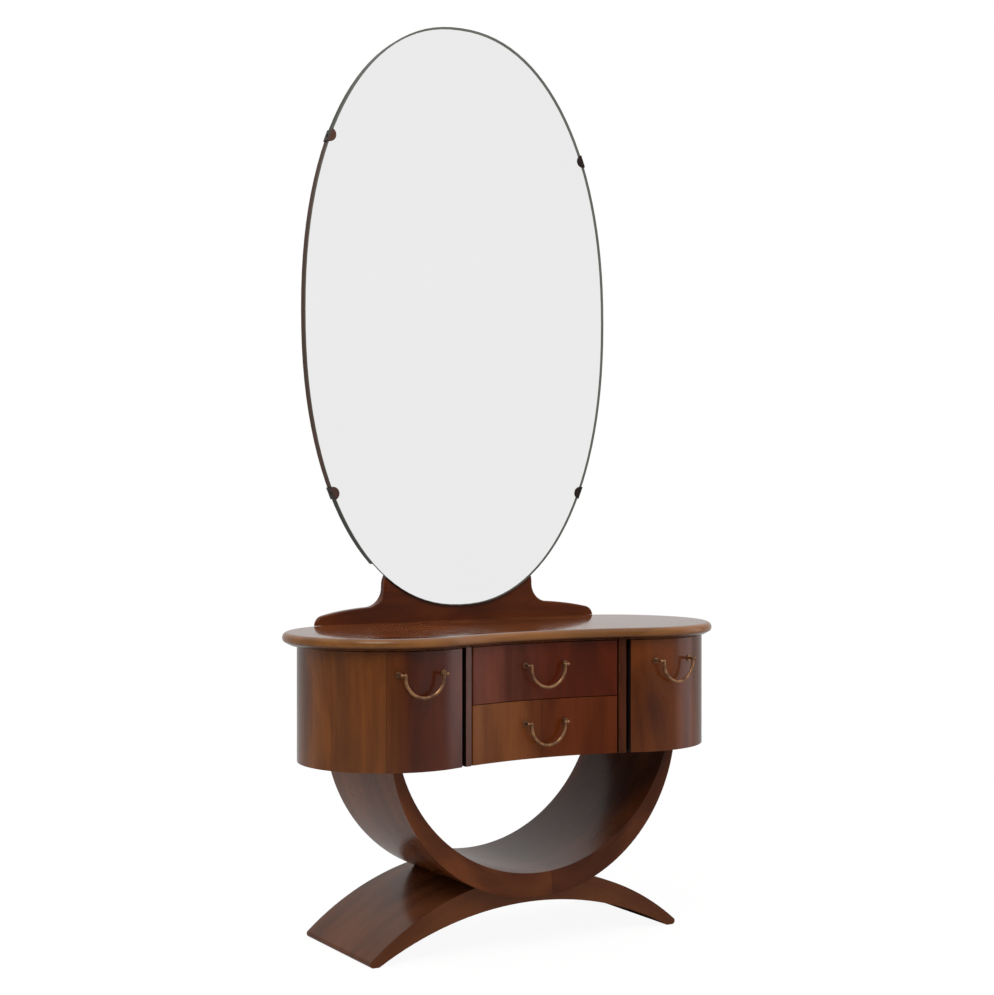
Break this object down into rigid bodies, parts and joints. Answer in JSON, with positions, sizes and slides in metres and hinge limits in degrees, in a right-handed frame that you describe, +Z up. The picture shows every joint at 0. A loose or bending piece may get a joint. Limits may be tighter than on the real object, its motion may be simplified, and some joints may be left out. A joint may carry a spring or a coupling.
{
  "type": "dressing table with oval mirror",
  "caption": "Kidney-shaped dressing table with curved doors and a drawer bank, carried by a crescent ring on an arched foot, with a tall oval mirror fixed behind the top.",
  "frame": {"origin": "on the floor, at the middle of the overall width and depth", "axes": "+X to the right and -Y out of the drawer fronts, seen from in front; +Z up"},
  "size_m": [0.955, 0.4337, 1.901],
  "materials": {
    "top_veneer": "gloss",
    "body_veneer": "gloss",
    "door_veneer": "gloss",
    "drawer_veneer": "gloss",
    "ring_veneer": "gloss",
    "dark_wood": "satin",
    "backing_wood": "satin",
    "back_wood": "matte",
    "inside_wood": "matte",
    "dowel_wood": "matte",
    "clip_wood": "satin",
    "mirror_glass": "polished",
    "handle_brass": "aged satin",
    "fitting_brass": "satin",
    "screw_steel": "satin"
  },
  "bodies": {
    "carcass": {"top_board": "top_veneer", "bottom_board": "dark_wood", "left_partition": "body_veneer", "right_partition": "body_veneer", "back_panel": "back_wood", "left_end_panel": "body_veneer", "right_end_panel": "body_veneer", "left_door_stop": "dark_wood", "right_door_stop": "dark_wood", "left_upper_runner": "inside_wood", "right_upper_runner": "inside_wood", "glue_blocks": "inside_wood", "drawer_stops": "inside_wood", "ball_catches": "fitting_brass", "ring": "ring_veneer", "foot": "dark_wood", "ring_dowels": "dowel_wood", "foot_screws": "screw_steel", "mirror_bracket": "body_veneer", "mirror_backing": "backing_wood", "mirror_glass": "mirror_glass", "upper_left_clip": "clip_wood", "upper_right_clip": "clip_wood", "lower_left_clip": "clip_wood", "lower_right_clip": "clip_wood", "clip_screws": "fitting_brass", "left_upright": "inside_wood", "right_upright": "inside_wood", "upright_spacers": "inside_wood", "upright_screws": "screw_steel", "left_fixed_hinges": "fitting_brass", "right_fixed_hinges": "fitting_brass"},
    "left_door": {"left_door": "door_veneer", "left_moving_hinges": "fitting_brass", "left_door_posts": "handle_brass"},
    "right_door": {"right_door": "door_veneer", "right_moving_hinges": "fitting_brass", "right_door_posts": "handle_brass"},
    "upper_drawer": {"upper_drawer_front": "drawer_veneer", "upper_drawer_left_side": "inside_wood", "upper_drawer_right_side": "inside_wood", "upper_drawer_back": "inside_wood", "upper_drawer_bottom": "inside_wood", "upper_drawer_posts": "handle_brass"},
    "lower_drawer": {"lower_drawer_front": "drawer_veneer", "lower_drawer_left_side": "inside_wood", "lower_drawer_right_side": "inside_wood", "lower_drawer_back": "inside_wood", "lower_drawer_bottom": "inside_wood", "lower_drawer_posts": "handle_brass"},
    "left_door_handle": {"left_door_bail": "handle_brass"},
    "right_door_handle": {"right_door_bail": "handle_brass"},
    "upper_drawer_handle": {"upper_drawer_bail": "handle_brass"},
    "lower_drawer_handle": {"lower_drawer_bail": "handle_brass"}
  },
  "joints": [
    {"name": "left_door_hinge", "type": "hinge", "parent": "carcass", "child": "left_door", "pos_m": [-0.39445, 0.11688, 0.5], "axis": [0, 0, -1], "range_deg": [0, 100]},
    {"name": "right_door_hinge", "type": "hinge", "parent": "carcass", "child": "right_door", "pos_m": [0.39445, 0.11688, 0.5], "axis": [0, 0, 1], "range_deg": [0, 100]},
    {"name": "upper_drawer_slide", "type": "slide", "parent": "carcass", "child": "upper_drawer", "axis": [0, -1, 0], "range_m": [0, 0.21]},
    {"name": "lower_drawer_slide", "type": "slide", "parent": "carcass", "child": "lower_drawer", "axis": [0, -1, 0], "range_m": [0, 0.21]},
    {"name": "left_door_bail_swing", "type": "hinge", "parent": "left_door", "child": "left_door_handle", "pos_m": [-0.29359, -0.2109, 0.568], "axis": [-0.9944, 0.1061, 0], "range_deg": [0, 85]},
    {"name": "right_door_bail_swing", "type": "hinge", "parent": "right_door", "child": "right_door_handle", "pos_m": [0.29359, -0.2109, 0.568], "axis": [-0.9944, -0.1061, 0], "range_deg": [0, 85]},
    {"name": "upper_drawer_bail_swing", "type": "hinge", "parent": "upper_drawer", "child": "upper_drawer_handle", "pos_m": [0.00782, -0.16735, 0.568], "axis": [-0.9999, 0.0118, 0], "range_deg": [0, 85]},
    {"name": "lower_drawer_bail_swing", "type": "hinge", "parent": "lower_drawer", "child": "lower_drawer_handle", "pos_m": [0.00782, -0.16735, 0.453], "axis": [-0.9999, 0.0118, 0], "range_deg": [0, 85]}
  ]
}
